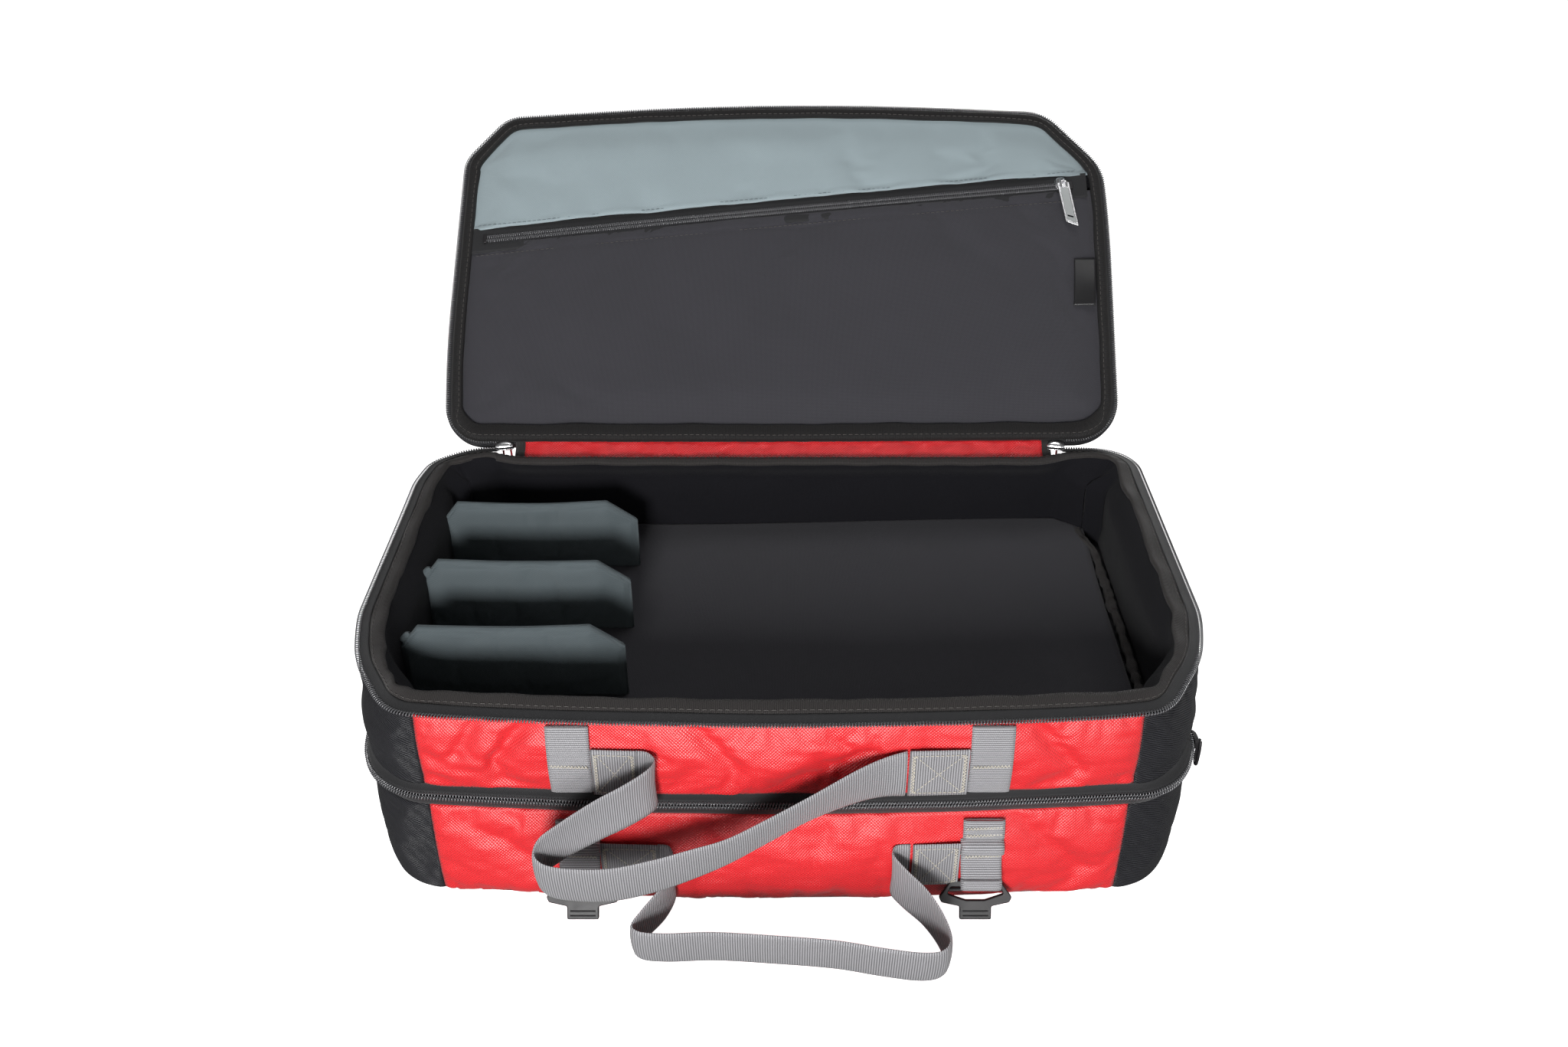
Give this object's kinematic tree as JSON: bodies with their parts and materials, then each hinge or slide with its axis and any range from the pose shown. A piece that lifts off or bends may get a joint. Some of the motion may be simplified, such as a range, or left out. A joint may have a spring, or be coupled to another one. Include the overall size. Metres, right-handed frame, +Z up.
{
  "type": "two-tier soft equipment case",
  "caption": "Open two-tier soft equipment case: hinged padded lid with zip pocket, tray with dividers over a lower compartment, webbing handles and strap adjusters.",
  "frame": {"origin": "middle of the flat underside of the base, on the surface that the case stands on", "axes": "+X to the right seen from the front, +Y from the front towards the hinges at the back, +Z up; the lid stands open"},
  "size_m": [0.5331, 0.6287, 0.3475],
  "materials": {
    "red_polyester": "coarse ballistic-weave polyester",
    "black_twill": "black diagonal-rib twill",
    "charcoal_lining": "matt charcoal lining",
    "grey_lining": "matt blue-grey lining",
    "grey_webbing": "ribbed grey webbing",
    "black_binding": "ribbed black binding tape",
    "black_zip": "black coil zip and tape",
    "stiffener_board": "plain board",
    "grey_foam": "closed-cell foam",
    "black_plastic": "moulded black plastic",
    "nickel": "bright nickel plate"
  },
  "bodies": {
    "lower_tier": {"base_panel": "black_twill", "base_board": "stiffener_board", "lower_front_panel": "red_polyester", "lower_back_panel": "red_polyester", "lower_left_end": "black_twill", "lower_right_end": "black_twill", "lower_front_padding": "charcoal_lining", "lower_back_padding": "charcoal_lining", "lower_left_padding": "charcoal_lining", "lower_right_padding": "charcoal_lining", "mid_zip_lower_tape": "black_zip", "tier_hinge_strip": "black_twill", "lower_strap_left": "grey_webbing", "lower_strap_right": "grey_webbing", "lower_anchor_left": "grey_webbing", "lower_anchor_right": "grey_webbing"},
    "upper_tier": {"tray_board": "stiffener_board", "tray_mat": "charcoal_lining", "tray_mat_left": "charcoal_lining", "tray_edge_trim": "black_binding", "upper_front_panel": "red_polyester", "upper_back_panel": "red_polyester", "upper_left_end": "black_twill", "upper_right_end": "black_twill", "upper_front_padding": "charcoal_lining", "upper_back_padding": "charcoal_lining", "upper_left_padding": "charcoal_lining", "upper_right_padding": "charcoal_lining", "mid_zip_upper_tape": "black_zip", "rim_zip_tape": "black_zip", "rim_binding": "black_binding", "upper_strap_left": "grey_webbing", "upper_strap_right": "grey_webbing", "upper_anchor_left": "grey_webbing", "upper_anchor_right": "grey_webbing", "lid_zip_slider_left": "nickel", "lid_zip_slider_right": "nickel"},
    "lid": {"lid_lining": "charcoal_lining", "lid_foam": "grey_foam", "lid_outer_cover": "red_polyester", "pocket_grey_panel": "grey_lining", "pocket_black_panel": "charcoal_lining", "pocket_zip_tape": "black_zip", "lid_binding": "black_binding", "lid_zip_tape": "black_zip", "hinge_gusset": "red_polyester", "lid_label": "black_binding"},
    "pocket_slider": {"pocket_slider": "nickel"},
    "pocket_pull": {"pocket_pull": "nickel"},
    "upper_handle": {"upper_handle_loop": "grey_webbing"},
    "lower_handle": {"lower_handle_loop": "grey_webbing"},
    "divider_front": {"divider_front": "grey_lining"},
    "divider_middle": {"divider_middle": "grey_lining"},
    "divider_rear": {"divider_rear": "grey_lining"},
    "mid_zip_slider": {"mid_zip_slider": "black_plastic"},
    "mid_zip_pull": {"mid_zip_pull": "black_plastic"},
    "lid_zip_pull_left": {"lid_zip_pull_left": "nickel"},
    "lid_zip_pull_right": {"lid_zip_pull_right": "nickel"},
    "ladder_lock_left": {"ladder_lock_left": "black_plastic"},
    "ladder_lock_right": {"ladder_lock_right": "black_plastic"}
  },
  "joints": [
    {"name": "tier_hinge", "type": "hinge", "parent": "lower_tier", "child": "upper_tier", "pos_m": [0, 0.1545, 0.09], "axis": [-1, 0, 0], "range_deg": [0, 95]},
    {"name": "lid_hinge", "type": "hinge", "parent": "upper_tier", "child": "lid", "pos_m": [0, 0.152, 0.1585], "axis": [1, 0, 0], "range_deg": [0, 142]},
    {"name": "upper_handle_swing", "type": "hinge", "parent": "upper_tier", "child": "upper_handle", "pos_m": [0, -0.1613, 0.1365], "axis": [-1, 0, 0], "range_deg": [0, 90]},
    {"name": "lower_handle_swing", "type": "hinge", "parent": "lower_tier", "child": "lower_handle", "pos_m": [0, -0.1616, 0.0585], "axis": [-1, 0, 0], "range_deg": [0, 54]},
    {"name": "divider_front_swing", "type": "hinge", "parent": "upper_tier", "child": "divider_front", "pos_m": [-0.2445, -0.066, 0.12], "axis": [0, 0, 1], "range_deg": [-15, 15]},
    {"name": "divider_middle_swing", "type": "hinge", "parent": "upper_tier", "child": "divider_middle", "pos_m": [-0.2445, 0.0055, 0.12], "axis": [0, 0, 1], "range_deg": [-15, 15]},
    {"name": "divider_rear_swing", "type": "hinge", "parent": "upper_tier", "child": "divider_rear", "pos_m": [-0.2445, 0.08, 0.12], "axis": [0, 0, 1], "range_deg": [-15, 15]},
    {"name": "pocket_slide", "type": "slide", "parent": "lid", "child": "pocket_slider", "axis": [0.9945, 0.0823, 0.0643], "range_m": [-0.47, 0]},
    {"name": "pocket_pull_swing", "type": "hinge", "parent": "pocket_slider", "child": "pocket_pull", "pos_m": [0.23, 0.32431, 0.30163], "axis": [0, -0.6157, 0.788], "range_deg": [-85, 5]},
    {"name": "mid_zip_slide", "type": "slide", "parent": "lower_tier", "child": "mid_zip_slider", "axis": [0, 1, 0], "range_m": [0, 0.18]},
    {"name": "mid_pull_swing", "type": "hinge", "parent": "mid_zip_slider", "child": "mid_zip_pull", "pos_m": [0.2691, -0.104, 0.09], "axis": [0, -1, 0], "range_deg": [0, 80]},
    {"name": "lid_pull_left_swing", "type": "hinge", "parent": "upper_tier", "child": "lid_zip_pull_left", "pos_m": [-0.211, 0.158, 0.158], "axis": [1, 0, 0], "range_deg": [0, 60]},
    {"name": "lid_pull_right_swing", "type": "hinge", "parent": "upper_tier", "child": "lid_zip_pull_right", "pos_m": [0.211, 0.158, 0.158], "axis": [1, 0, 0], "range_deg": [0, 60]},
    {"name": "ladder_lock_left_swing", "type": "hinge", "parent": "lower_tier", "child": "ladder_lock_left", "pos_m": [-0.1235, -0.16253, 0.025], "axis": [-1, 0, 0], "range_deg": [0, 60]},
    {"name": "ladder_lock_right_swing", "type": "hinge", "parent": "lower_tier", "child": "ladder_lock_right", "pos_m": [0.1235, -0.16253, 0.025], "axis": [-1, 0, 0], "range_deg": [0, 60]}
  ],
  "couplings": [
    {"joint": "lower_handle_swing", "follows": "upper_handle_swing", "ratio": 0.6}
  ]
}
